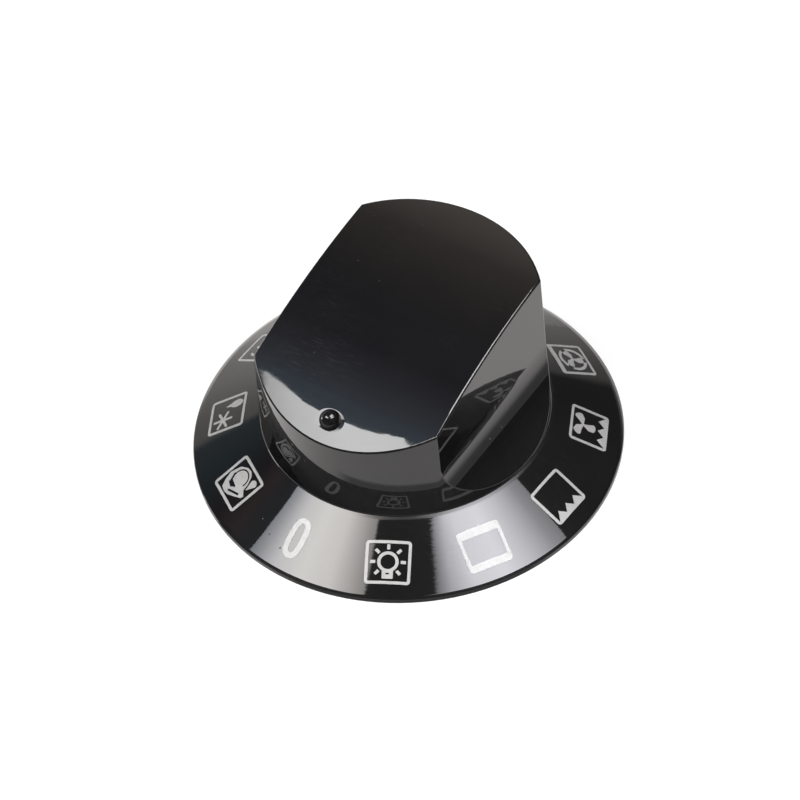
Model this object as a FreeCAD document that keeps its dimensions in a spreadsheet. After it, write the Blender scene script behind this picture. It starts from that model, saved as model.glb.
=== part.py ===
import FreeCAD, Part
import math
import os
import Sketcher

# Oven control knob with a printed skirt. The origin is the centre of the rim's underside, +Z runs up the
# control shaft's axis, the pointer pip is towards -Y and the two finger flats face -X and +X. Millimetres.

NODES = ["knob_moulding", "shaft_spring_clip"]
TOUCH = 0.001

# Driving dimensions: name, value, what it measures.
SIZES = [
    ("rim_diameter", 62.0, "skirt across its rim"),
    ("rim_land", 0.5, "upright edge of the rim"),
    ("rim_width", 3.2, "flat ring under the rim"),
    ("skirt_height", 6.4, "rim plane to the foot of the grip"),
    ("grip_diameter", 41.5, "grip across its round walls, at the foot"),
    ("grip_top_diameter", 40.4, "grip across its round walls, at the top"),
    ("back_height", 27.7, "rim plane to the top of the grip, at the back"),
    ("crown_radius", 94.0, "arc of the sloping top"),
    ("crown_peak", 20.6, "level point of that arc, behind the shaft axis"),
    ("flat_width", 29.9, "across the finger flats, level with the top of the back"),
    ("flat_lean", 2.0, "lean of each flat from upright, in degrees"),
    ("scoop_radius", 9.0, "hollow curve from each flat out to the skirt"),
    ("scoop_step", 0.35, "round wall left between a scoop and the skirt"),
    ("edge_round", 0.3, "rounding of the grip's edges"),
    ("foot_round", 0.2, "rounding at the foot of the grip and on the rim"),
    ("pip_diameter", 3.0, "round pointer pip"),
    ("pip_reach", 17.2, "pip in front of the shaft axis"),
    ("dimple_diameter", 4.4, "shallow sink round the pip"),
    ("dimple_depth", 0.03, "depth of that sink"),
    ("grip_wall", 2.1, "wall of the grip"),
    ("roof_wall", 2.4, "wall under the sloping top"),
    ("boss_diameter", 11.5, "boss round the shaft"),
    ("boss_recess", 1.2, "boss end above the rim plane"),
    ("rib_thickness", 1.4, "ribs from the boss to the grip"),
    ("rib_recess", 7.5, "lower edge of the ribs above the rim plane"),
    ("rib_count", 4, "ribs round the boss"),
    ("shaft_diameter", 6.0, "control shaft that the socket takes"),
    ("shaft_flat", 4.6, "shaft across its flat"),
    ("shaft_clearance", 0.05, "socket wall to shaft"),
    ("socket_depth", 14.0, "socket from the boss end"),
    ("socket_lead", 0.5, "bevel at the socket's mouth"),
    ("clip_thickness", 0.4, "spring strip"),
    ("clip_width", 3.8, "spring strip across"),
    ("clip_length", 10.0, "spring strip inside the boss"),
    ("clip_lead", 1.0, "straight stretch of the strip below its bow"),
    ("clip_bow", 0.9, "rise of the strip's bow"),
    ("clip_foot", 1.6, "folded foot under the boss end"),
    ("clip_press", 0.15, "bow past the shaft's flat when no shaft is in"),
    ("clip_play", 0.1, "clearance of the strip in its slot"),
]

# Room that a cut takes beyond the surface it starts from.
SPARE = "1"

# Share of the step below a scoop that the rounding of the grip's edges may take up.
ROUND_SHARE = "0.85"

# Sizes that several features share, as formulas of the driving dimensions.
RIM_R = "sizes.rim_diameter / 2"
RIM_INNER_R = "(sizes.rim_diameter / 2 - sizes.rim_width)"
GRIP_R = "sizes.grip_diameter / 2"
GRIP_TOP_R = "sizes.grip_top_diameter / 2"
CORE_R = "(sizes.grip_diameter / 2 - sizes.grip_wall)"
CORE_TOP_R = "(sizes.grip_top_diameter / 2 - sizes.grip_wall)"
SKIRT_SLOPE = "((sizes.skirt_height - sizes.rim_land) / (sizes.rim_diameter / 2 - sizes.grip_diameter / 2))"
BLANK_TOP = f"(sizes.back_height + {SPARE})"
LEAN_COS = "cos(sizes.flat_lean)"
LEAN_SIN = "sin(sizes.flat_lean)"

# A scoop's foot as seen from the top of its leaning flat: sideways, upwards, out from the flat and along it.
FOOT_X = "(sizes.grip_diameter / 2 - sizes.flat_width / 2)"
FOOT_Z = "(sizes.skirt_height + sizes.scoop_step - sizes.back_height)"
FOOT_OUT = f"({FOOT_X} * {LEAN_COS} + {FOOT_Z} * {LEAN_SIN})"
FOOT_ALONG = f"({FOOT_Z} * {LEAN_COS} - {FOOT_X} * {LEAN_SIN})"

# The flat ends where an arc through that foot leaves it smoothly, and the arc's axis lies a radius out from there.
FLAT_END = f"({FOOT_ALONG} + sqrt({FOOT_OUT} * (2 * sizes.scoop_radius - {FOOT_OUT})))"
SCOOP_AXIS_X = f"(sizes.flat_width / 2 - {FLAT_END} * {LEAN_SIN} + sizes.scoop_radius * {LEAN_COS})"
SCOOP_AXIS_Z = f"(sizes.back_height + {FLAT_END} * {LEAN_COS} + sizes.scoop_radius * {LEAN_SIN})"

# The socket and the spring strip, from the shaft axis towards the shaft's flat.
SOCKET_R = "(sizes.shaft_diameter / 2 + sizes.shaft_clearance)"
SOCKET_FLAT = "(sizes.shaft_flat - sizes.shaft_diameter / 2 + sizes.shaft_clearance)"
CLIP_FACE = "(sizes.shaft_flat - sizes.shaft_diameter / 2 - sizes.clip_press)"
CLIP_BACK = f"({CLIP_FACE} + sizes.clip_bow + sizes.clip_thickness)"
SLOT_WALL = f"({CLIP_BACK} + sizes.clip_play)"


def make_sheet(doc):
    """The spreadsheet of driving dimensions."""
    sheet = doc.addObject("Spreadsheet::Sheet", "sizes")
    for row, (name, value, note) in enumerate(SIZES, 1):
        sheet.set(f"A{row}", name)
        sheet.set(f"B{row}", str(value))
        sheet.set(f"C{row}", note)
        sheet.setAlias(f"B{row}", name)
    doc.recompute()
    return sheet


def origin_plane(body, role):
    """One of the body's own origin planes or axes."""
    return next(f for f in body.Origin.OriginFeatures if f.Role == role)


def new_sketch(body, name, plane, lift=None):
    """A sketch on an origin plane, or lifted along that plane's normal."""
    sketch = body.newObject("Sketcher::SketchObject", name)
    sketch.AttachmentSupport = [(origin_plane(body, plane), "")]
    sketch.MapMode = "FlatFace"
    if lift:
        sketch.setExpression("AttachmentOffset.Base.z", lift)
    return sketch


def hold(sketch, geo, end, axis, formula, label):
    """Ties one coordinate of a point to a formula, or to the axis where the formula is zero."""
    if formula == "0":
        sketch.addConstraint(Sketcher.Constraint("PointOnObject", geo, end, -2 if axis == "X" else -1))
        return
    value = float(sketch.evalExpression(formula))
    index = sketch.addConstraint(Sketcher.Constraint("Distance" + axis, -1, 1, geo, end, value))
    sketch.renameConstraint(index, label)
    sketch.setExpression("Constraints." + label, formula)


def arc_between(start, end, radius, left):
    """Arc from start to end that bulges to the left or right of the way it goes."""
    middle = (start + end) * 0.5
    way = end - start
    half = way.Length / 2
    side = FreeCAD.Vector(-way.y, way.x, 0).normalize()
    if not left:
        side = side.negative()
    rise = radius - math.sqrt(radius**2 - half**2)
    return Part.Arc(start, middle + side * rise, end)


def draw(sketch, corners, arcs=None):
    """A closed outline. Each corner is a pair of formulas. arcs gives, for the side that starts at a
    corner, its radius formula and whether it bulges to the left; the other sides are straight."""
    arcs = arcs or {}
    points = [
        FreeCAD.Vector(float(sketch.evalExpression(x)), float(sketch.evalExpression(y)), 0) for x, y in corners
    ]
    ends = []
    for i, start in enumerate(points):
        stop = points[(i + 1) % len(points)]
        if i not in arcs:
            geo = sketch.addGeometry(Part.LineSegment(start, stop))
            ends.append((geo, 1, 2))
            continue
        formula, left = arcs[i]
        radius = float(sketch.evalExpression(formula))
        geo = sketch.addGeometry(arc_between(start, stop, radius, left))
        # A sketch arc runs anticlockwise, so one that bulges to the left is stored end first.
        ends.append((geo, 2, 1) if left else (geo, 1, 2))
        index = sketch.addConstraint(Sketcher.Constraint("Radius", geo, radius))
        sketch.renameConstraint(index, f"radius_{i}")
        sketch.setExpression(f"Constraints.radius_{i}", formula)
    for i, (geo, first, last) in enumerate(ends):
        following, next_first, _ = ends[(i + 1) % len(ends)]
        sketch.addConstraint(Sketcher.Constraint("Coincident", geo, last, following, next_first))
        hold(sketch, geo, first, "X", corners[i][0], f"x_{i}")
        hold(sketch, geo, first, "Y", corners[i][1], f"y_{i}")


def circle(sketch, radius):
    """A circle round the sketch's origin."""
    value = float(sketch.evalExpression(radius))
    geo = sketch.addGeometry(Part.Circle(FreeCAD.Vector(0, 0, 0), FreeCAD.Vector(0, 0, 1), value))
    sketch.addConstraint(Sketcher.Constraint("Coincident", geo, 3, -1, 1))
    index = sketch.addConstraint(Sketcher.Constraint("Radius", geo, value))
    sketch.renameConstraint(index, "radius")
    sketch.setExpression("Constraints.radius", radius)


def revolve(body, kind, name, sketch):
    """A full turn of a sketch about its upright axis."""
    feature = body.newObject("PartDesign::" + kind, name)
    feature.Profile = sketch
    feature.ReferenceAxis = (sketch, ["V_Axis"])
    feature.Angle = 360
    return feature


def cut_through(body, name, sketch):
    """A pocket that passes through the whole body, both ways from the sketch."""
    feature = body.newObject("PartDesign::Pocket", name)
    feature.Profile = sketch
    feature.Type = "ThroughAll"
    feature.Midplane = True
    return feature


def cut_up(body, name, sketch, depth=None):
    """A pocket upwards from the sketch, through the body or to a depth."""
    feature = body.newObject("PartDesign::Pocket", name)
    feature.Profile = sketch
    feature.Reversed = True
    if depth:
        feature.Type = "Length"
        feature.setExpression("Length", depth)
    else:
        feature.Type = "ThroughAll"
    return feature


def mirror_across(body, name, feature, plane):
    """Repeats a feature on the other side of an origin plane."""
    mirrored = body.newObject("PartDesign::Mirrored", name)
    mirrored.Originals = [feature]
    mirrored.MirrorPlane = (origin_plane(body, plane), [""])
    body.Tip = mirrored
    return mirrored


def round_edges(body, name, base, wanted, radius):
    """Rounds the edges of base whose middle point is wanted."""
    names = []
    for i, edge in enumerate(base.Shape.Edges, 1):
        middle = edge.valueAt((edge.FirstParameter + edge.LastParameter) / 2)
        if wanted(edge, middle):
            names.append(f"Edge{i}")
    feature = body.newObject("PartDesign::Fillet", name)
    feature.Base = (base, names)
    feature.setExpression("Radius", radius)
    return feature


def crown_height(y, wall):
    """Height of the sloping top, less a wall, at a distance y behind the shaft axis."""
    radius = f"(sizes.crown_radius - {wall})"
    return f"sizes.back_height - sizes.crown_radius + sqrt({radius} ^ 2 - ({y} - sizes.crown_peak) ^ 2)"


def cut_crown(body, wall):
    """Cuts the sloping top, lowered by a wall: an arc that is level at the back and falls to the pip."""
    sketch = new_sketch(body, "crown_outline", "YZ_Plane")
    front = f"-({GRIP_R} + {SPARE})"
    back = f"({GRIP_R} + {SPARE})"
    top = f"({BLANK_TOP} + {SPARE})"
    draw(
        sketch,
        [(front, crown_height(front, wall)), (back, crown_height(back, wall)), (back, top), (front, top)],
        {0: (f"sizes.crown_radius - {wall}", True)},
    )
    return cut_through(body, "crown", sketch)


def cut_scoops(body, wall, reach):
    """Cuts the finger flats and the scoops below them, set in by a wall, out to the radius reach."""
    sketch = new_sketch(body, "scoop_outline", "XZ_Plane")
    radius = f"(sizes.scoop_radius + {wall})"
    top = f"({BLANK_TOP} + {SPARE})"
    end_x = f"({SCOOP_AXIS_X} - {radius} * {LEAN_COS})"
    end_z = f"({SCOOP_AXIS_Z} - {radius} * {LEAN_SIN})"
    top_x = f"({end_x} - ({top} - {end_z}) * tan(sizes.flat_lean))"
    foot = f"({SCOOP_AXIS_Z} - sqrt({radius} ^ 2 - ({SCOOP_AXIS_X} - {reach}) ^ 2))"
    outside = f"({RIM_R} + {SPARE})"
    draw(
        sketch,
        [(top_x, top), (end_x, end_z), (reach, foot), (outside, foot), (outside, top)],
        {1: (radius, False)},
    )
    scoop = cut_through(body, "scoop", sketch)
    return mirror_across(body, "scoop_pair", scoop, "YZ_Plane")


def make_core(doc):
    """The form of the hollow underside: skirt, grip and top set in by their walls, less the boss and ribs."""
    body = doc.addObject("PartDesign::Body", "hollow_core")
    outline = new_sketch(body, "core_outline", "XZ_Plane")
    draw(
        outline,
        [
            ("0", f"-{SPARE}"),
            (RIM_INNER_R, f"-{SPARE}"),
            (RIM_INNER_R, "0"),
            (CORE_R, f"({RIM_INNER_R} - {CORE_R}) * {SKIRT_SLOPE}"),
            (CORE_TOP_R, BLANK_TOP),
            ("0", BLANK_TOP),
        ],
    )
    revolve(body, "Revolution", "core_blank", outline)
    doc.recompute()
    cut_crown(body, "sizes.roof_wall")
    cut_scoops(body, "sizes.grip_wall", CORE_R)
    doc.recompute()

    boss_ring = new_sketch(body, "boss_outline", "XY_Plane", "sizes.boss_recess")
    circle(boss_ring, "sizes.boss_diameter / 2")
    cut_up(body, "boss", boss_ring)
    rib_outline = new_sketch(body, "rib_outline", "XY_Plane", "sizes.rib_recess")
    side = "sizes.rib_thickness / 2"
    draw(rib_outline, [("0", f"-{side}"), (GRIP_R, f"-{side}"), (GRIP_R, side), ("0", side)])
    rib = cut_up(body, "rib", rib_outline)
    doc.recompute()
    ribs = body.newObject("PartDesign::PolarPattern", "ribs")
    ribs.Originals = [rib]
    ribs.Axis = (origin_plane(body, "Z_Axis"), [""])
    ribs.Angle = 360
    ribs.setExpression("Occurrences", "sizes.rib_count")
    body.Tip = ribs
    doc.recompute()
    return body


def make_moulding(doc, sheet, core):
    """The knob itself: skirt, grip, pip, boss and ribs in one moulding."""
    body = doc.addObject("PartDesign::Body", "knob_moulding")
    outline = new_sketch(body, "blank_outline", "XZ_Plane")
    draw(
        outline,
        [
            ("0", "0"),
            (RIM_R, "0"),
            (RIM_R, "sizes.rim_land"),
            (GRIP_R, "sizes.skirt_height"),
            (GRIP_TOP_R, BLANK_TOP),
            ("0", BLANK_TOP),
        ],
    )
    blank = revolve(body, "Revolution", "blank", outline)
    doc.recompute()

    def on_ring(edge, middle):
        at_foot = abs(middle.z - sheet.skirt_height) < TOUCH
        at_rim = abs(middle.z - sheet.rim_land) < TOUCH
        return at_foot or at_rim

    round_edges(body, "foot_and_rim_rounds", blank, on_ring, "sizes.foot_round")
    cut_crown(body, "0")
    scoops = cut_scoops(body, "0", f"({GRIP_R})")
    doc.recompute()

    crown_axis_z = sheet.back_height - sheet.crown_radius
    taper = (sheet.grip_diameter - sheet.grip_top_diameter) / 2
    taper /= sheet.back_height + float(SPARE) - sheet.skirt_height

    def on_grip_edge(edge, middle):
        from_axis = math.hypot(middle.y - sheet.crown_peak, middle.z - crown_axis_z)
        wall = sheet.grip_diameter / 2 - (middle.z - sheet.skirt_height) * taper
        on_crown = abs(from_axis - sheet.crown_radius) < TOUCH
        on_wall = abs(math.hypot(middle.x, middle.y) - wall) < TOUCH
        above_foot = middle.z > sheet.skirt_height + sheet.scoop_step / 2
        return (on_crown or on_wall) and above_foot and edge.Length > sheet.scoop_step

    rounding = f"min(sizes.edge_round; sizes.scoop_step * {ROUND_SHARE})"
    round_edges(body, "grip_rounds", scoops, on_grip_edge, rounding)
    doc.recompute()

    add_pip(body)
    hollow = body.newObject("PartDesign::Boolean", "hollow")
    hollow.setObjects([core])
    hollow.Type = "Cut"
    doc.recompute()

    cut_socket(body)
    doc.recompute()
    return body


def add_pip(body):
    """The round pip that points at the printed marks, in its shallow sink on the sloping top."""
    centre_y = "-sizes.pip_reach"
    centre_z = crown_height(centre_y, "0")
    lean = f"asin(({centre_y} - sizes.crown_peak) / sizes.crown_radius)"
    sink_radius = "((sizes.dimple_diameter ^ 2 / 4 + sizes.dimple_depth ^ 2) / (2 * sizes.dimple_depth))"
    lift = f"({sink_radius} - sizes.dimple_depth)"
    sink = body.newObject("PartDesign::SubtractiveSphere", "pip_sink")
    sink.setExpression("Radius", sink_radius)
    sink.setExpression("Placement.Base.y", f"{centre_y} + {lift} * sin({lean})")
    sink.setExpression("Placement.Base.z", f"{centre_z} + {lift} * cos({lean})")
    pip = body.newObject("PartDesign::AdditiveSphere", "pip")
    pip.setExpression("Radius", "sizes.pip_diameter / 2")
    pip.setExpression("Placement.Base.y", centre_y)
    pip.setExpression("Placement.Base.z", centre_z)


def cut_socket(body):
    """The D-shaped socket for the control shaft, its bevelled mouth and the slot for the spring."""
    socket = new_sketch(body, "socket_outline", "XY_Plane", "sizes.boss_recess")
    half_chord = f"sqrt({SOCKET_R} ^ 2 - {SOCKET_FLAT} ^ 2)"
    below = f"-{SOCKET_R}"
    draw(
        socket,
        [(half_chord, SOCKET_FLAT), (f"-{half_chord}", SOCKET_FLAT), ("0", below)],
        {1: (SOCKET_R, False), 2: (SOCKET_R, False)},
    )
    cut_up(body, "socket", socket, "sizes.socket_depth")

    mouth = new_sketch(body, "mouth_outline", "XZ_Plane")
    draw(
        mouth,
        [
            ("0", "sizes.boss_recess - sizes.socket_lead"),
            (f"{SOCKET_R} + 2 * sizes.socket_lead", "sizes.boss_recess - sizes.socket_lead"),
            (SOCKET_R, "sizes.boss_recess + sizes.socket_lead"),
            ("0", "sizes.boss_recess + sizes.socket_lead"),
        ],
    )
    revolve(body, "Groove", "mouth", mouth)

    slot = new_sketch(body, "slot_outline", "XY_Plane", "sizes.boss_recess")
    side = "(sizes.clip_width / 2 + sizes.clip_play)"
    draw(slot, [(f"-{side}", "0"), (side, "0"), (side, SLOT_WALL), (f"-{side}", SLOT_WALL)])
    cut_up(body, "clip_slot", slot, "sizes.clip_length + sizes.clip_play")


def make_clip(doc):
    """The spring strip: a folded foot under the boss, a short lead and a bow that presses on the shaft's flat."""
    body = doc.addObject("PartDesign::Body", "shaft_spring_clip")
    sketch = new_sketch(body, "strip_outline", "YZ_Plane")
    inner = f"({CLIP_BACK} - sizes.clip_thickness)"
    foot_end = f"({SLOT_WALL} + sizes.clip_foot)"
    lead = "(sizes.boss_recess + sizes.clip_lead)"
    top = "(sizes.boss_recess + sizes.clip_length)"
    half = "((sizes.clip_length - sizes.clip_lead) / 2)"
    bow = f"({half} ^ 2 + sizes.clip_bow ^ 2) / (2 * sizes.clip_bow)"
    below = "(sizes.boss_recess - sizes.clip_thickness)"
    draw(
        sketch,
        [
            (CLIP_BACK, "sizes.boss_recess"),
            (foot_end, "sizes.boss_recess"),
            (foot_end, below),
            (inner, below),
            (inner, lead),
            (inner, top),
            (CLIP_BACK, top),
            (CLIP_BACK, lead),
        ],
        {4: (bow, True), 6: (bow, False)},
    )
    strip = body.newObject("PartDesign::Pad", "strip")
    strip.Profile = sketch
    strip.Midplane = True
    strip.setExpression("Length", "sizes.clip_width")
    doc.recompute()
    return body


def check(doc, bodies):
    """Stops if a feature failed, a cut removed nothing or a piece isn't one sound solid."""
    for item in doc.Objects:
        if "Invalid" in item.State or "Error" in item.State:
            raise RuntimeError(f"{item.Name} failed: {item.State}")
        base = getattr(item, "BaseFeature", None)
        if item.TypeId in ("PartDesign::Pocket", "PartDesign::Groove") and base:
            if item.Shape.Volume > base.Shape.Volume - TOUCH:
                raise RuntimeError(f"{item.Name} cut nothing")
    for body in bodies:
        shape = body.Shape
        if shape.isNull() or not shape.isValid() or len(shape.Solids) != 1:
            raise RuntimeError(f"{body.Label} is not one sound solid")


doc = FreeCAD.newDocument("oven_knob")
sheet = make_sheet(doc)
core = make_core(doc)
moulding = make_moulding(doc, sheet, core)
clip = make_clip(doc)
doc.recompute()

bodies = [moulding, clip]
for body, node in zip(bodies, NODES):
    body.Label = node
check(doc, bodies)
os.makedirs("parts", exist_ok=True)
for body in bodies:
    body.Shape.exportStep(f"parts/{body.Label}.step")
    print(body.Label, "volume", round(body.Shape.Volume, 1), "faces", len(body.Shape.Faces))
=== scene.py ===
import math

import bpy
import numpy as np
from mathutils import Matrix, Vector


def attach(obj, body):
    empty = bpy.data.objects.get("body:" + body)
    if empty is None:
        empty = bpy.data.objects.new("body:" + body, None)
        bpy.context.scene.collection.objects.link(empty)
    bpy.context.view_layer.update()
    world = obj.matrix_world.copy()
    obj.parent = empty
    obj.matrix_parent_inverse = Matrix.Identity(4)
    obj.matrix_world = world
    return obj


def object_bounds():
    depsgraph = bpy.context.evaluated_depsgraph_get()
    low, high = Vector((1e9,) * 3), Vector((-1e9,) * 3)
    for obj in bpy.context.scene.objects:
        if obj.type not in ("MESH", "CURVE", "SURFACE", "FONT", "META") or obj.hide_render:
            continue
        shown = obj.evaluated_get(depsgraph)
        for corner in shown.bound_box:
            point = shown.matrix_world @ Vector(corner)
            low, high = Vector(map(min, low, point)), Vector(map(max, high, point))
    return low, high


# Looks of the oven control knob: gloss black moulding, steel spring clip, white print on the skirt.
# Lengths are in millimetres of the CAD model's frame, and MM turns them to Blender's metres.

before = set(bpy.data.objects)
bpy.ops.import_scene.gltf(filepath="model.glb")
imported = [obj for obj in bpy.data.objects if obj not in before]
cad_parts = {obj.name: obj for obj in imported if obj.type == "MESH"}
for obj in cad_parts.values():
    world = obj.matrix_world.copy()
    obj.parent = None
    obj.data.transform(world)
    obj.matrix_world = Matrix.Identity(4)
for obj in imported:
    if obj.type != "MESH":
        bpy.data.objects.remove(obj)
cad_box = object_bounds()
MM = 0.001

# The skirt's cone: radius and height of its foot and of its rim edge.
FOOT_R = 20.75
FOOT_Z = 6.4
RIM_R = 31.0
RIM_Z = 0.5
SLOPE = (FOOT_Z - RIM_Z) / (RIM_R - FOOT_R)
TILT = math.atan(SLOPE)

# How far the inside of the grip reaches from the axis, to its flats and to its round ends.
GRIP_INNER_X = 14.0
GRIP_INNER_R = 18.8


# Node helpers

class Nodes:
    """Short names for building one node tree."""

    def __init__(self, tree):
        self.tree = tree
        tree.nodes.clear()

    def new(self, kind, **settings):
        node = self.tree.nodes.new("ShaderNode" + kind)
        for name, value in settings.items():
            setattr(node, name, value)
        return node

    def put(self, value, socket):
        """Links an output to a socket, or sets the socket's own value."""
        if isinstance(value, bpy.types.NodeSocket):
            self.tree.links.new(value, socket)
        elif value is not None:
            socket.default_value = value

    def math(self, operation, a, b=None):
        node = self.new("Math", operation=operation)
        self.put(a, node.inputs[0])
        self.put(b, node.inputs[1])
        return node.outputs[0]

    def vector(self, operation, a, b=None, scale=None):
        node = self.new("VectorMath", operation=operation)
        self.put(a, node.inputs[0])
        self.put(b, node.inputs[1])
        self.put(scale, node.inputs[3])
        return node.outputs["Value" if operation == "LENGTH" else "Vector"]

    def split(self, vector):
        node = self.new("SeparateXYZ")
        self.put(vector, node.inputs[0])
        return node.outputs

    def join(self, x, y, z):
        node = self.new("CombineXYZ")
        for value, socket in zip((x, y, z), node.inputs):
            self.put(value, socket)
        return node.outputs[0]

    def place(self):
        """The position in the object's own frame, in millimetres."""
        return self.vector("SCALE", self.new("TexCoord").outputs["Object"], scale=1 / MM)

    def noise(self, vector, scale, detail=2.0, rough=0.5):
        node = self.new("TexNoise")
        self.put(vector, node.inputs["Vector"])
        node.inputs["Scale"].default_value = scale
        node.inputs["Detail"].default_value = detail
        node.inputs["Roughness"].default_value = rough
        return node.outputs["Fac"]

    def span(self, value, low, high, to_low=0.0, to_high=1.0):
        """Maps low to high onto another range, smoothly and clamped."""
        node = self.new("MapRange", interpolation_type="SMOOTHSTEP")
        self.put(value, node.inputs["Value"])
        for name, number in (("From Min", low), ("From Max", high), ("To Min", to_low), ("To Max", to_high)):
            node.inputs[name].default_value = number
        return node.outputs["Result"]

    def mix(self, factor, a, b):
        node = self.new("Mix", data_type="RGBA")
        self.put(factor, node.inputs["Factor"])
        sockets = [s for s in node.inputs if s.type == "RGBA"]
        self.put(a, sockets[0])
        self.put(b, sockets[1])
        return next(s for s in node.outputs if s.type == "RGBA")

    def ramp(self, value, stops):
        """A colour ramp: stops of a position and a grey level or a colour."""
        node = self.new("ValToRGB")
        elements = node.color_ramp.elements
        while len(elements) < len(stops):
            elements.new(0.5)
        for element, (position, level) in zip(elements, stops):
            element.position = position
            element.color = (*level, 1) if isinstance(level, tuple) else (level, level, level, 1)
        self.put(value, node.inputs[0])
        return node.outputs["Color"]

    def bump(self, height, distance):
        node = self.new("Bump")
        node.inputs["Distance"].default_value = distance
        self.put(height, node.inputs["Height"])
        return node.outputs["Normal"]


def empty_material(name):
    """A material and its node tree, with nothing in it yet."""
    material = bpy.data.materials.new(name)
    material.use_nodes = True
    return material, Nodes(material.node_tree)


# Materials

def surface(name):
    """A node material with a principled shader, and its position in millimetres."""
    material, n = empty_material(name)
    shader = n.new("BsdfPrincipled")
    output = n.new("OutputMaterial")
    n.put(shader.outputs["BSDF"], output.inputs["Surface"])
    return material, n, shader.inputs, n.place()


def streaks(n, place, turn, length, width, low, high):
    """Thin straight scratches: noise stretched along one direction, and only its peaks."""
    mapping = n.new("Mapping")
    n.put(place, mapping.inputs["Vector"])
    mapping.inputs["Rotation"].default_value = (0, 0, turn)
    mapping.inputs["Scale"].default_value = (1 / length, 1 / width, 1 / length)
    return n.span(n.noise(mapping.outputs["Vector"], 1.0, 3.0, 0.6), low, high)


def scratches(n, place):
    """Fine scratches in two directions, most of them where a thumb lies on the crown."""
    thumb = (-7.0, -10.0, 21.0)
    from_thumb = n.vector("LENGTH", n.vector("SUBTRACT", place, thumb))
    thumbed = n.span(from_thumb, 2.0, 12.0, 1.0, 0.0)
    worn = n.math("MAXIMUM", thumbed, n.span(n.noise(place, 0.07, 2.0), 0.42, 0.66, 0.0, 0.6))
    one_way = streaks(n, place, 0.9, 2.6, 0.16, 0.56, 0.7)
    other_way = streaks(n, place, -0.7, 2.0, 0.14, 0.58, 0.72)
    return n.math("MULTIPLY", n.math("MAXIMUM", one_way, other_way), worn)


def dust(n, place, z):
    """Scattered specks, fainter high on the grip."""
    cells = n.new("TexVoronoi")
    n.put(place, cells.inputs["Vector"])
    cells.inputs["Scale"].default_value = 0.42
    speck = n.span(cells.outputs["Distance"], 0.035, 0.06, 1.0, 0.0)
    chosen = n.math("GREATER_THAN", n.split(cells.outputs["Color"])[0], 0.85)
    specks = n.math("MULTIPLY", speck, chosen)
    return n.math("MULTIPLY", specks, n.span(z, 14.0, 17.0, 1.0, 0.35))


def hollow_side(n, x, radius):
    """One on the walls of the hollow below, which the mould leaves satin, and nought outside."""
    geometry = n.new("NewGeometry").outputs
    facing = n.split(geometry["Normal"])
    place = n.split(geometry["Position"])
    outwards_x = n.math("MULTIPLY", facing[0], place[0])
    outwards_y = n.math("MULTIPLY", facing[1], place[1])
    inward = n.math("LESS_THAN", n.math("ADD", outwards_x, outwards_y), -0.0004)
    downward = n.math("LESS_THAN", facing[2], -0.3)
    upright = n.math("LESS_THAN", facing[2], 0.3)
    between_flats = n.math("LESS_THAN", n.math("ABSOLUTE", x), GRIP_INNER_X)
    between = n.math("MULTIPLY", between_flats, n.math("LESS_THAN", radius, GRIP_INNER_R))
    walls = n.math("MULTIPLY", upright, n.math("MAXIMUM", inward, between))
    return n.math("MAXIMUM", downward, walls)


def rim_rounding(n, x, y, radius):
    """Drop of the rim's rounded edge: tight in front and on the right, wider on the left and behind,
    and none at the left front."""
    leftward = n.math("SUBTRACT", y, x)
    start = n.span(leftward, -22, -14, 30.5, 30.2)
    past = n.math("MAXIMUM", n.math("SUBTRACT", radius, start), 0.0)
    curving = n.math("MAXIMUM", n.span(leftward, -22, -14, 500, 0), n.span(y, -14, -6, 0, 180))
    return n.math("MULTIPLY", n.math("MULTIPLY", past, past), curving)


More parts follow.
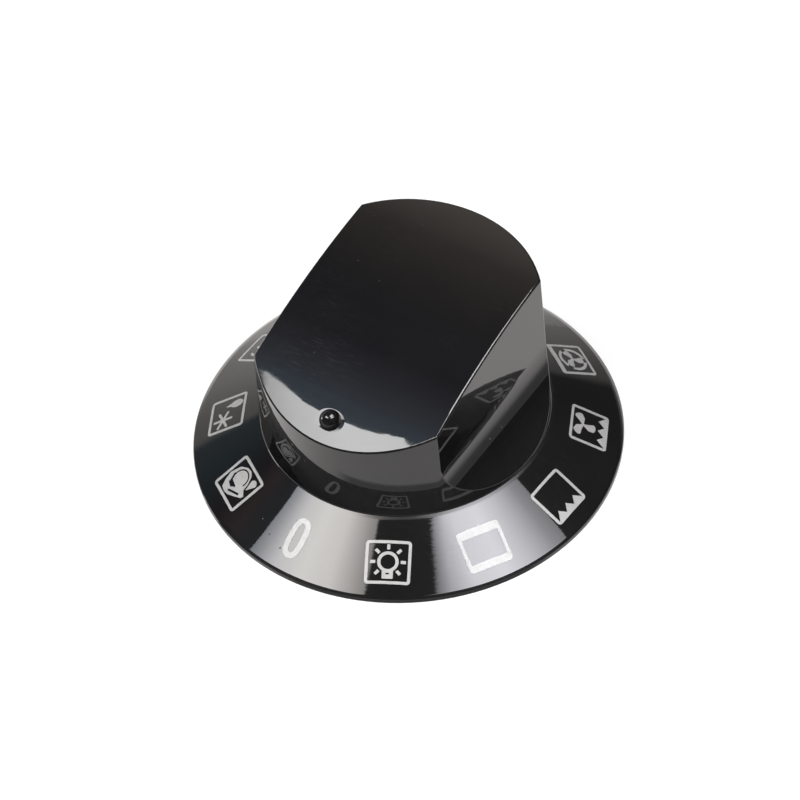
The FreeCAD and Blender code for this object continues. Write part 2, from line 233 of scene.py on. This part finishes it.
def gloss_plastic():
    """Polished black moulding with a hazy film, fine scratches, dust and turning marks on the skirt."""
    material, n, sockets, place = surface("gloss_black_plastic")
    x, y, z = n.split(place)
    radius = n.vector("LENGTH", n.join(x, y, 0.0))
    patch = n.noise(place, 0.11, 3.0, 0.55)
    fine = n.noise(place, 1.7, 3.0, 0.6)
    marks = scratches(n, place)
    grain = dust(n, place, z)

    sockets["IOR"].default_value = 1.6
    sockets["Coat Weight"].default_value = 0.05
    sockets["Coat Roughness"].default_value = 0.27
    sockets["Coat IOR"].default_value = 1.5
    clean = n.mix(n.span(patch, 0.35, 0.7), (0.0055, 0.0055, 0.006, 1), (0.0074, 0.0071, 0.0071, 1))
    scratched = n.mix(n.math("MULTIPLY", marks, 0.5), clean, (0.036, 0.038, 0.042, 1))
    dusty = n.mix(n.math("MULTIPLY", grain, 0.8), scratched, (0.14, 0.135, 0.13, 1))
    n.put(dusty, sockets["Base Color"])

    rough = n.span(patch, 0.38, 0.75, 0.012, 0.03)
    rough = n.math("ADD", rough, n.math("MULTIPLY", fine, 0.008))
    rough = n.math("ADD", rough, n.math("MULTIPLY", marks, 0.05))
    rough = n.math("MAXIMUM", rough, n.math("MULTIPLY", grain, 0.6))
    foot = n.span(n.math("ABSOLUTE", n.math("SUBTRACT", radius, 20.9)), 0.2, 0.5, 0.25, 0.0)
    low_right = n.math("MULTIPLY", n.span(x, 2.0, 8.0), n.span(z, 6.5, 6.9, 1.0, 0.0))
    rough = n.math("MAXIMUM", rough, n.math("MULTIPLY", foot, low_right))
    satin = n.math("MULTIPLY", hollow_side(n, x, radius), n.span(fine, 0.3, 0.7, 0.34, 0.46))
    n.put(n.math("MAXIMUM", rough, satin), sockets["Roughness"])

    ring_at = n.join(radius, n.math("MULTIPLY", patch, 0.6), 0.0)
    rings = n.math("MULTIPLY", n.noise(ring_at, 5.0, 2.0), n.span(radius, 20.9, 21.4))
    flow = n.noise(place, 0.35, 1.0)
    height = n.math("ADD", n.math("MULTIPLY", rings, 1.8), n.math("MULTIPLY", flow, 1.6))
    height = n.math("SUBTRACT", height, n.math("MULTIPLY", marks, 0.06))
    height = n.math("ADD", height, n.math("MULTIPLY", grain, 12.0))
    height = n.math("SUBTRACT", height, rim_rounding(n, x, y, radius))
    n.put(n.bump(height, 0.0000015), sockets["Normal"])
    return material


def spring_steel():
    """Cold-rolled strip: fine lines along its length, and a little tarnish."""
    material, n, sockets, place = surface("rolled_spring_steel")
    along = n.new("Mapping")
    n.put(place, along.inputs["Vector"])
    along.inputs["Scale"].default_value = (14.0, 1.0, 0.35)
    lines = n.noise(along.outputs["Vector"], 1.0, 4.0, 0.6)
    tarnish = n.span(n.noise(place, 0.5, 3.0), 0.45, 0.75)
    steel = n.mix(lines, (0.5, 0.5, 0.51, 1), (0.62, 0.62, 0.63, 1))
    n.put(n.mix(n.math("MULTIPLY", tarnish, 0.35), steel, (0.4, 0.36, 0.31, 1)), sockets["Base Color"])
    sockets["Metallic"].default_value = 1.0
    n.put(n.span(lines, 0.3, 0.7, 0.22, 0.38), sockets["Roughness"])
    n.put(n.bump(lines, 0.000004), sockets["Normal"])
    return material


def print_ink():
    """Pad-printed white: slightly uneven cover, soft sheen and a few pinholes."""
    material, n, sockets, place = surface("white_ink")
    cover = n.noise(place, 1.3, 3.0, 0.6)
    grain = n.noise(place, 9.0, 2.0)
    pores = n.span(n.noise(place, 5.0, 1.0), 0.74, 0.8)
    white = n.mix(n.span(cover, 0.3, 0.7), (0.55, 0.55, 0.54, 1), (0.61, 0.61, 0.6, 1))
    n.put(n.mix(n.math("MULTIPLY", pores, 0.5), white, (0.35, 0.35, 0.35, 1)), sockets["Base Color"])
    n.put(n.span(grain, 0.3, 0.7, 0.26, 0.34), sockets["Roughness"])
    sockets["IOR"].default_value = 1.64
    n.put(n.bump(grain, 0.000002), sockets["Normal"])
    return material


def give(node, material):
    """Sets the material of a CAD node."""
    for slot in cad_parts[node].material_slots:
        slot.material = material


# Printed marks
# A mark is a shape in its own millimetres: x runs along the skirt, anticlockwise from above,
# and y up to the grip. Each shape gives the distance to its edge, below zero inside.

# Half width and height of a mark's box, and the width of its lines.
BOX_X = 3.05
BOX_Y = 2.97
LINE = 0.41
# Scale from the drawing to the print, and how much less it is up the skirt on the right.
DRAWN = 1.05
NARROWER = 0.05
# Radius of the ring of marks, and how far its centre lies from the axis.
RING_R = 26.0
RING_X = 0.245
RING_Y = -0.26
# Cell of the grid that marks are cut from, and how far their skin stands out and reaches in.
GRID = 0.075
PROUD = 0.03
SUNK = 0.05


def rectangle(x, y, left, right, low, high, rounding=0.0):
    dx = np.abs(x - (left + right) / 2) - (right - left) / 2 + rounding
    dy = np.abs(y - (low + high) / 2) - (high - low) / 2 + rounding
    outside = np.hypot(np.maximum(dx, 0), np.maximum(dy, 0))
    return outside + np.minimum(np.maximum(dx, dy), 0) - rounding


def disc(x, y, cx, cy, radius):
    return np.hypot(x - cx, y - cy) - radius


def oval(x, y, half_x, half_y, fullness=2.7):
    """An upright oval: an ellipse at a fullness of 2, and nearer to a box above that."""
    share = (np.abs(x / half_x) ** fullness + np.abs(y / half_y) ** fullness) ** (1 / fullness)
    return (share - 1) * half_x


def stroke(x, y, start, end, width, end_width=None):
    """A straight line with round ends, which may widen to its far end."""
    (ax, ay), (bx, by) = start, end
    along = np.clip(((x - ax) * (bx - ax) + (y - ay) * (by - ay)) / ((bx - ax) ** 2 + (by - ay) ** 2), 0, 1)
    half = width / 2 + along * ((end_width or width) - width) / 2
    return np.hypot(x - ax - along * (bx - ax), y - ay - along * (by - ay)) - half


def polygon(x, y, points):
    distance = np.full_like(x, 1e9)
    inside = np.zeros_like(x, bool)
    for (ax, ay), (bx, by) in zip(points, points[1:] + points[:1]):
        distance = np.minimum(distance, stroke(x, y, (ax, ay), (bx, by), 0.0))
        crosses = (ay > y) != (by > y)
        at = ax + (y - ay) * (bx - ax) / (by - ay if by != ay else 1e-9)
        inside ^= crosses & (x < at)
    return np.where(inside, -distance, distance)


def polyline(x, y, points, width):
    return np.minimum.reduce([stroke(x, y, a, b, width) for a, b in zip(points, points[1:])])


def frame_box(x, y, top=LINE, bottom=LINE, side=LINE):
    """The box round a symbol, with thicker bars where a heater is on."""
    outer = rectangle(x, y, -BOX_X, BOX_X, -BOX_Y, BOX_Y, 0.5)
    inner = rectangle(x, y, side - BOX_X, BOX_X - side, bottom - BOX_Y, BOX_Y - top, 0.08)
    return np.maximum(outer, -inner)


def teeth(x, y):
    """Three teeth along the rim side of a box, pointing to the grip."""
    base = -BOX_Y + 0.2
    valley = -2.42
    tip = -1.4
    points = [(-2.75, base), (2.75, base), (2.6, valley)]
    for centre in (1.68, 0.03, -1.62):
        points += [(centre, tip), (centre - 0.82, valley)]
    return polygon(x, y, points)


# A propeller blade's outline from root to tip and back, for a blade of length 1.
BLADE = [(0.45, -0.36), (0.88, -0.34), (1.0, -0.1), (0.97, 0.2), (0.8, 0.3), (0.4, 0.14)]


def fan(x, y, cx, cy, reach, turn):
    """Three propeller blades round a hub."""
    root = 0.1
    outline = [(0.0, -root)] + [(reach * bx, reach * by) for bx, by in BLADE] + [(0.0, root)]
    shapes = [disc(x, y, cx, cy, 2 * root)]
    for blade in range(3):
        a = math.radians(turn + 120 * blade)
        rx = (x - cx) * math.cos(a) + (y - cy) * math.sin(a)
        ry = (y - cy) * math.cos(a) - (x - cx) * math.sin(a)
        shapes.append(polygon(rx, ry, outline))
    return np.minimum.reduce(shapes)


def drop(x, y, tip, centre, radius):
    return stroke(x, y, tip, centre, 0.06, 2 * radius)


def zero(x, y):
    outer = oval(x, y, 1.36, 2.84)
    inner = oval(x, y, 0.58, 2.1)
    return np.maximum(outer, -inner)


def lamp(x, y):
    middle = 0.05
    globe = np.minimum(disc(x, y, 0, middle, 1.42), rectangle(x, y, -0.74, 0.74, -2.25, -0.9, 0.08))
    globe = np.maximum(globe, -disc(x, y, 0, middle, 0.99))
    globe = np.maximum(globe, -rectangle(x, y, -0.28, 0.24, -1.68, -1.46, 0.05))
    shapes = [frame_box(x, y), globe]
    for angle in range(-45, 226, 45):
        way = (math.cos(math.radians(angle)), math.sin(math.radians(angle)))
        across = (y - middle) * way[0] - x * way[1]
        outward = x * way[0] + (y - middle) * way[1]
        shapes.append(rectangle(outward, across, 1.68, 2.38, -0.21, 0.21))
    return np.minimum.reduce(shapes)


def both_heats(x, y):
    return frame_box(x, y, top=1.2, bottom=1.05, side=0.45)


def grill(x, y):
    return np.minimum(frame_box(x, y), teeth(x, y))


def fan_grill(x, y):
    return np.minimum.reduce([frame_box(x, y), teeth(x, y), fan(x, y, 0.0, 0.95, 2.0, 30)])


def fan_heat(x, y):
    middle = -0.25
    turn = 25
    ring = np.maximum(disc(x, y, 0, middle, 2.2), -disc(x, y, 0, middle, 1.75))
    for angle in (turn, turn + 120, turn + 240):
        a = math.radians(angle)
        ring = np.maximum(ring, -stroke(x, y, (0, middle), (3 * math.cos(a), middle + 3 * math.sin(a)), 0.8))
    return np.minimum.reduce([frame_box(x, y, top=0.75), ring, fan(x, y, 0, middle, 1.75, turn)])


def lower_heat(x, y):
    return frame_box(x, y, bottom=1.2)


def fan_lower_heat(x, y):
    return np.minimum(frame_box(x, y, bottom=1.0), fan(x, y, 0, 0.45, 1.8, 90))


def upper_heat(x, y):
    return frame_box(x, y, top=1.2)


def warm(x, y):
    low = -1.2
    high = 1.5
    rise = np.linspace(low, high, 13)
    sway = 0.28 * np.sin((rise - low) / (high - low) * 2 * math.pi)
    shapes = [frame_box(x, y)]
    for start in (-1.55, -0.05, 1.45):
        shapes.append(polyline(x, y, list(zip(start + sway, rise)), 0.42))
    return np.minimum.reduce(shapes)


def defrost(x, y):
    flake_x = 1.02
    flake_y = -0.65
    arm = 1.4
    seed = oval(x + 1.35, y - 1.4, 0.66, 1.05, 2.0)
    shapes = [frame_box(x, y), drop(x, y, (-1.3, -0.4), (-1.35, 1.3), 0.6), seed]
    for angle in (30, 90, 150):
        dx = arm * math.cos(math.radians(angle))
        dy = arm * math.sin(math.radians(angle))
        shapes.append(stroke(x, y, (flake_x - dx, flake_y - dy), (flake_x + dx, flake_y + dy), 0.38))
    return np.minimum.reduce(shapes)


def roast(x, y):
    outline = [
        (-2.3, 0.4), (-1.95, 1.45), (-1.0, 2.15), (-0.05, 2.3), (0.6, 1.95),
        (1.2, 0.9), (1.5, 0.0), (2.3, -0.45), (2.15, -0.9), (1.3, -1.5),
        (0.2, -2.2), (-0.6, -2.4), (-1.5, -2.25), (-2.05, -1.4), (-2.45, -0.2),
    ]
    gap = np.maximum(np.abs(disc(x, y, -0.4, 0.55, 1.25)) - 0.11, 0.2 - y)
    fold = polyline(x, y, [(-1.75, 0.2), (-1.3, -0.75), (-0.1, -0.8)], 0.34)
    notch = polygon(x, y, [(-1.5, -1.1), (-1.2, -0.5), (0.05, -0.65), (-0.5, -1.35)])
    slot = stroke(x, y, (-0.3, -1.75), (1.35, -0.95), 0.32)
    bird = np.maximum.reduce([polygon(x, y, outline), -gap, -fold, -notch, -slot])
    return np.minimum.reduce([frame_box(x, y), bird, drop(x, y, (1.7, 0.3), (1.78, 1.6), 0.56)])


def outline_cells(shape):
    """Points and faces of a shape, cut from a fine grid, and the pairs of points along its edge."""
    xs = np.arange(-BOX_X - 2 * GRID, BOX_X + 3 * GRID, GRID)
    ys = np.arange(-BOX_Y - 2 * GRID, BOX_Y + 3 * GRID, GRID)
    gx, gy = np.meshgrid(xs, ys, indexing="ij")
    depth = shape(gx, gy)
    points = []
    known = {}

    def corner(i, j):
        if (i, j) not in known:
            known[i, j] = len(points)
            points.append((xs[i], ys[j]))
        return known[i, j]

    def crossing(a, b):
        key = (min(a, b), max(a, b))
        if key not in known:
            share = min(max(depth[a] / (depth[a] - depth[b]), 0.02), 0.98)
            at_x = xs[a[0]] + share * (xs[b[0]] - xs[a[0]])
            at_y = ys[a[1]] + share * (ys[b[1]] - ys[a[1]])
            known[key] = len(points)
            points.append((at_x, at_y))
        return known[key]

    faces = []
    rim = []
    for i in range(len(xs) - 1):
        for j in range(len(ys) - 1):
            ring = [(i, j), (i + 1, j), (i + 1, j + 1), (i, j + 1)]
            inside = [depth[c] < 0 for c in ring]
            if not any(inside):
                continue
            face = []
            cut = []
            for k in range(4):
                here, following = ring[k], ring[(k + 1) % 4]
                if inside[k]:
                    face.append(corner(*here))
                if inside[k] != inside[(k + 1) % 4]:
                    face.append(crossing(here, following))
                    cut.append((face[-1], inside[k]))
            faces.append(face)
            for k, (point, leaving) in enumerate(cut):
                if leaving:
                    rim.append((point, cut[(k + 1) % len(cut)][0]))
    return points, faces, rim


def on_skirt(point, angle, height):
    """A mark's point on the skirt's cone, some height above it."""
    facing = math.radians(angle)
    side = point[0] * DRAWN
    up = point[1] * (DRAWN - NARROWER * max(math.sin(facing), 0))
    out = RING_R + RING_X * math.sin(facing) - RING_Y * math.cos(facing) - up * math.cos(TILT)
    radius = math.hypot(out, side)
    turn = facing + math.atan2(side, out)
    flat = radius + height * math.sin(TILT)
    level = FOOT_Z - (radius - FOOT_R) * SLOPE + height * math.cos(TILT)
    return Vector((flat * math.sin(turn), -flat * math.cos(turn), level)) * MM


def mesh_object(name, points, faces, material):
    """An object with one material, put in the scene."""
    mesh = bpy.data.meshes.new(name)
    mesh.from_pydata(points, [], faces)
    mesh.materials.append(material)
    piece = bpy.data.objects.new(name, mesh)
    bpy.context.scene.collection.objects.link(piece)
    return piece


def print_mark(name, shape, angle, material):
    """Makes one printed mark as a thin closed skin on the skirt."""
    points, faces, rim = outline_cells(shape)
    count = len(points)
    upper = [on_skirt(p, angle, PROUD) for p in points]
    lower = [on_skirt(p, angle, -SUNK) for p in points]
    skin = faces + [[i + count for i in reversed(face)] for face in faces]
    skin += [[b, a, a + count, b + count] for a, b in rim]
    piece = mesh_object(name, upper + lower, skin, material)
    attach(piece, "root")


# Marks by their angle from the pointer pip, anticlockwise from above.
MARKS = [
    ("zero", zero, -2.2),
    ("lamp", lamp, 27.8),
    ("both_heats", both_heats, 57.5),
    ("grill", grill, 87.1),
    ("fan_grill", fan_grill, 116.8),
    ("fan_heat", fan_heat, 146.5),
    ("lower_heat", lower_heat, 177.0),
    ("fan_lower_heat", fan_lower_heat, 207.5),
    ("upper_heat", upper_heat, 238.0),
    ("warm", warm, 268.0),
    ("defrost", defrost, 298.4),
    ("roast", roast, 328.1),
]


# Stage

# Height of the lights overhead, half the floor's width, and the gap below the knob.
CEILING = 700
FLOOR_HALF = 140
FLOOR_GAP = 0.02


def emitter(name, peak, ramps, tint, once):
    """Light-giving material. Each ramp is an axis, its low and high end and the stops of its level.
    With once, it shows in a first mirror bounce only."""
    material, n = empty_material(name)
    glow = n.new("Emission")
    glow.inputs["Color"].default_value = (*tint, 1)
    glow.inputs["Strength"].default_value = peak
    level = tint
    for axis, low, high, stops in ramps:
        share = n.new("MapRange")
        n.put(n.split(n.place())[axis], share.inputs["Value"])
        share.inputs["From Min"].default_value = low
        share.inputs["From Max"].default_value = high
        level = n.vector("MULTIPLY", n.ramp(share.outputs["Result"], stops), level)
        n.put(level, glow.inputs["Color"])
    if once:
        bounce = n.new("LightPath").outputs["Glossy Depth"]
        n.put(n.span(bounce, 1.0, 2.0, peak, 0.0), glow.inputs["Strength"])
    output = n.new("OutputMaterial")
    n.put(glow.outputs["Emission"], output.inputs["Surface"])
    return material


def panel(name, corners, peak, ramps=(), tint=(1, 1, 1), once=False):
    """A flat light above or beside the knob, seen only by the surfaces that it lights."""
    points = [[MM * value for value in corner] for corner in corners]
    piece = mesh_object(name, points, [list(range(len(points)))], emitter(name, peak, ramps, tint, once))
    piece.visible_camera = False
    return piece


def overhead(outline, height=CEILING):
    """Corners of a level panel above the knob."""
    return [(x, y, height) for x, y in outline]


def light_left():
    """Mirrored in the skirt round the zero mark."""
    outline = [
        (-592, -240), (-592, -350), (-640, -395), (-650, -440),
        (-30, -440), (-14, -353), (-5, -321), (5, -240),
    ]
    across = [
        (0.0, (0.28, 0.29, 0.32)), (0.1, (0.43, 0.435, 0.46)), (0.28, (0.82, 0.805, 0.815)),
        (0.52, (1.0, 0.98, 0.94)), (0.74, (0.9, 0.87, 0.84)), (0.94, (0.44, 0.42, 0.41)),
        (1.0, (0.33, 0.32, 0.31)),
    ]
    panel("light_left", overhead(outline), 11.3, [(0, -610, 0, across)])


def light_crown():
    """Mirrored along the front of the crown as a bright crescent."""
    outline = [
        (-357, -126), (-358, -240), (-285, -240), (-285, -150), (-291, -143),
        (-294, -130), (-299, -138), (-305, -149), (-312, -156), (-320, -160),
        (-330, -161), (-336, -157), (-342, -147), (-348, -133), (-354, -122),
    ]
    fading = [(0.0, 0.62), (0.2, 0.88), (0.5, 1.05), (0.75, 1.04), (1.0, 0.98)]
    panel("light_crown", overhead(outline), 9.4, [(0, -358, -285, fading)])


def light_right():
    """Mirrored in the skirt to the right of the lamp mark."""
    outline = [
        (219, -183), (225, -290), (420, -120), (540, 60), (600, 315), (514, 337), (478, 346), (440, 347),
        (380, 160), (300, 10), (230, -110),
    ]
    along = [(0.0, 0.38), (0.06, 0.52), (0.2, 0.9), (0.4, 1.0), (0.6, 0.75), (0.86, 0.36), (1.0, 0.25)]
    inward = [(0.0, 0.2), (0.35, 0.66), (1.0, 1.0)]
    ramps = [(1, -200, 345, along), (0, 214, 262, inward)]
    panel("light_right", overhead(outline), 12.9, ramps, tint=(0.95, 0.945, 1))


def light_back():
    """The dim ceiling that the rest of the crown mirrors, just above light_crown."""
    outline = [(-430, -170), (-260, -170), (-260, 640), (-430, 640)]
    glow = [
        (0.0, (0.5, 0.68, 0.85)), (0.08, (0.38, 0.5, 0.64)), (0.12, (0.31, 0.35, 0.44)),
        (0.17, (0.24, 0.245, 0.3)), (0.25, (0.12, 0.12, 0.15)), (0.38, (0.12, 0.11, 0.13)),
        (0.52, (0.19, 0.17, 0.16)), (0.67, (0.34, 0.3, 0.26)), (0.84, (0.72, 0.64, 0.57)),
        (1.0, (1.0, 0.92, 0.84)),
    ]
    ramps = [(1, -170, 640, glow), (0, -380, -330, [(0.0, 0.85), (1.0, 1.0)])]
    panel("light_back", overhead(outline, CEILING + 2), 1.0, ramps)


def light_edge():
    """A card for the bright line on the crown's right edge, which lights nothing matt."""
    outline = [(40, -45), (215, -45), (285, 60), (335, 170), (372, 330), (40, 330)]
    fading = [(0.0, 1.0), (0.4, 0.8), (1.0, 0.45)]
    card = panel("light_edge", overhead(outline), 13.0, [(1, -45, 330, fading)])
    card.visible_diffuse = False


def light_window():
    """A low window for the spark on the pip's left side, which lights nothing matt."""
    corners = [(-620, -330, 0), (-620, -330, 150), (-675, -180, 150), (-675, -180, 0)]
    rising = [(0.0, 0.9), (1.0, 1.0)]
    card = panel("light_window", corners, 7.0, [(2, 0, 150, rising)], once=True)
    card.visible_diffuse = False


def light_front():
    """A soft light on the front of the dial, which lights the print and isn't mirrored."""
    corners = [(283, -566, 30), (283, -566, 180), (566, -283, 180), (566, -283, 30)]
    card = panel("light_front", corners, 10.0)
    card.visible_glossy = False


def painted_floor_glow(n, x, y):
    """Painted light and shade on the floor's glow in reflections: pale near the knob and far off at the left
    and behind, brighter on the left, with a painted shadow ring by the front right of the rim.
    """
    reach = n.vector("LENGTH", n.join(x, y, 0.0))
    # Painted pool of light: the glow fades past 44 mm out and towards the right.
    near = n.math("MULTIPLY", n.span(reach, 44, 70, 1.0, 0.04), n.span(x, 32, 50, 1.0, 0.03))
    # Painted light and shade: the glow is brighter to the left and dimmer at the front right.
    side = n.math("MAXIMUM", n.span(x, -25, 0, 1.12, 0.74), n.span(y, -15, 5, 0.74, 0.92))
    near = n.math("MULTIPLY", near, side)
    # Painted shadow: the glow drops to a tenth in a thin ring just outside the rim at the front right, and
    # not on the left or behind.
    open_side = n.math("MAXIMUM", n.span(x, -4, 4, 1.0, 0.0), n.span(y, -14, -8))
    painted_contact_shadow = n.math("MAXIMUM", n.span(reach, 32.3, 33.0, 0.1, 1.0), open_side)
    near = n.math("MULTIPLY", near, painted_contact_shadow)
    behind = n.math("DIVIDE", n.math("SUBTRACT", y, x), reach)
    sideways = n.math("DIVIDE", x, reach)
    far = n.math("MULTIPLY", n.span(behind, 0.15, 0.8), n.span(sideways, -0.9, -0.2, 0.76, 0.6))
    return n.math("MAXIMUM", near, far)


def make_floor():
    """A pale sheet that shows white to the camera, glows pale with painted light and shade in reflections,
    and keeps the knob's shadow.
    """
    material, n = empty_material("floor_white")
    plain = n.new("BsdfDiffuse")
    plain.inputs["Color"].default_value = (0.4, 0.4, 0.4, 1)
    x, y, _ = n.split(n.place())
    path = n.new("LightPath").outputs
    # The glow in reflections carries painted light and shade, and is dimmer in reflections of reflections.
    bright = painted_floor_glow(n, x, y)
    bright = n.math("MULTIPLY", bright, n.span(path["Glossy Depth"], 1.0, 2.0, 1.0, 0.3))
    mirrored = n.math("MAXIMUM", path["Is Glossy Ray"], path["Is Transmission Ray"])
    to_camera = n.math("MULTIPLY", path["Is Camera Ray"], 0.78)
    level = n.math("ADD", to_camera, n.math("MULTIPLY", mirrored, bright))
    glow = n.new("Emission")
    n.put(n.mix(path["Is Camera Ray"], (1.0, 0.96, 0.94, 1), (1, 1, 1, 1)), glow.inputs["Color"])
    n.put(level, glow.inputs["Strength"])
    both = n.new("AddShader")
    n.put(plain.outputs["BSDF"], both.inputs[0])
    n.put(glow.outputs["Emission"], both.inputs[1])
    output = n.new("OutputMaterial")
    n.put(both.outputs["Shader"], output.inputs["Surface"])
    half = FLOOR_HALF * MM
    corners = [(-half, -half, 0), (half, -half, 0), (half, half, 0), (-half, half, 0)]
    floor = mesh_object("floor", corners, [[0, 1, 2, 3]], material)
    floor.location.z = cad_box[0][2] - FLOOR_GAP * MM


def make_world():
    """A pale band low round the room, bright on the left and faint on the right, and dim above.
    It is white to the camera, and dimmer in reflections of reflections."""
    world = bpy.data.worlds.new("studio")
    bpy.context.scene.world = world
    world.use_nodes = True
    n = Nodes(world.node_tree)
    x, y, z = n.split(n.new("TexCoord").outputs["Generated"])
    behind = n.span(n.math("SUBTRACT", y, x), 0.15, 0.8, 0.05, 1.0)
    sideways = n.math("MULTIPLY", n.span(x, -1.0, 0.95, 1.04, 0.05), behind)
    falling = n.math("MULTIPLY", n.span(z, 0.0, 0.3, 1.05, 0.66), n.span(y, 0.3, 0.9, 1.0, 0.84))
    band = n.math("MULTIPLY", sideways, falling)
    low = n.mix(band, (0.06, 0.058, 0.055, 1), (1.0, 0.96, 0.93, 1))
    left = n.ramp(z, [
        (0.28, (0.2, 0.24, 0.27)), (0.42, (0.13, 0.19, 0.22)), (0.5, (0.1, 0.13, 0.15)),
        (0.56, (0.1, 0.08, 0.1)), (0.63, (0.26, 0.2, 0.2)), (0.7, (0.13, 0.16, 0.18)),
        (0.78, (0.1, 0.1, 0.11)),
    ])
    right = n.mix(n.span(z, 0.3, 0.55), (0.085, 0.085, 0.085, 1), (0.125, 0.12, 0.115, 1))
    high = n.mix(n.span(x, -0.6, -0.3), left, right)
    slanting = n.math("ADD", z, n.math("MULTIPLY", x, 0.09))
    room = n.mix(n.span(slanting, 0.205, 0.245, 1.0, 0.0), high, low)
    path = n.new("LightPath").outputs
    back = n.new("Background")
    n.put(n.mix(path["Is Camera Ray"], room, (1, 1, 1, 1)), back.inputs["Color"])
    n.put(n.span(path["Glossy Depth"], 1.0, 2.0, 1.0, 0.4), back.inputs["Strength"])
    output = n.new("OutputWorld")
    n.put(back.outputs["Background"], output.inputs["Surface"])


def make_camera():
    """Camera at the photograph's angle, fitted to the rim, the grip's edges and the outline."""
    azimuth, elevation, roll = (math.radians(a) for a in (37.44, 48.434, -5.282))
    distance = 471.06
    aim_up = 4.885
    aim_left = 1.184
    ahead = Vector((math.sin(azimuth), -math.cos(azimuth), 0))
    away = ahead * math.cos(elevation) + Vector((0, 0, math.sin(elevation)))
    level = Vector((math.cos(azimuth), math.sin(azimuth), 0))
    upright = away.cross(level)
    right = level * math.cos(roll) + upright * math.sin(roll)
    up = upright * math.cos(roll) - level * math.sin(roll)
    eye = away * distance
    back = (eye - up * aim_up + right * aim_left).normalized()
    right = (right - back * right.dot(back)).normalized()
    data = bpy.data.cameras.new("camera")
    data.sensor_width = 36
    data.lens = 147.4
    data.clip_start = 0.01
    data.clip_end = 20
    camera = bpy.data.objects.new("camera", data)
    bpy.context.scene.collection.objects.link(camera)
    turn = Matrix((right, back.cross(right), back)).transposed()
    camera.matrix_world = Matrix.Translation(eye * MM) @ turn.to_4x4()
    bpy.context.scene.camera = camera


give("knob_moulding", gloss_plastic())
give("shaft_spring_clip", spring_steel())
ink = print_ink()
for name, shape, angle in MARKS:
    print_mark("print_" + name, shape, angle, ink)
make_floor()
make_world()
for make_light in (light_left, light_crown, light_right, light_back, light_edge, light_window, light_front):
    make_light()
make_camera()
bpy.context.scene.view_settings.view_transform = "Standard"
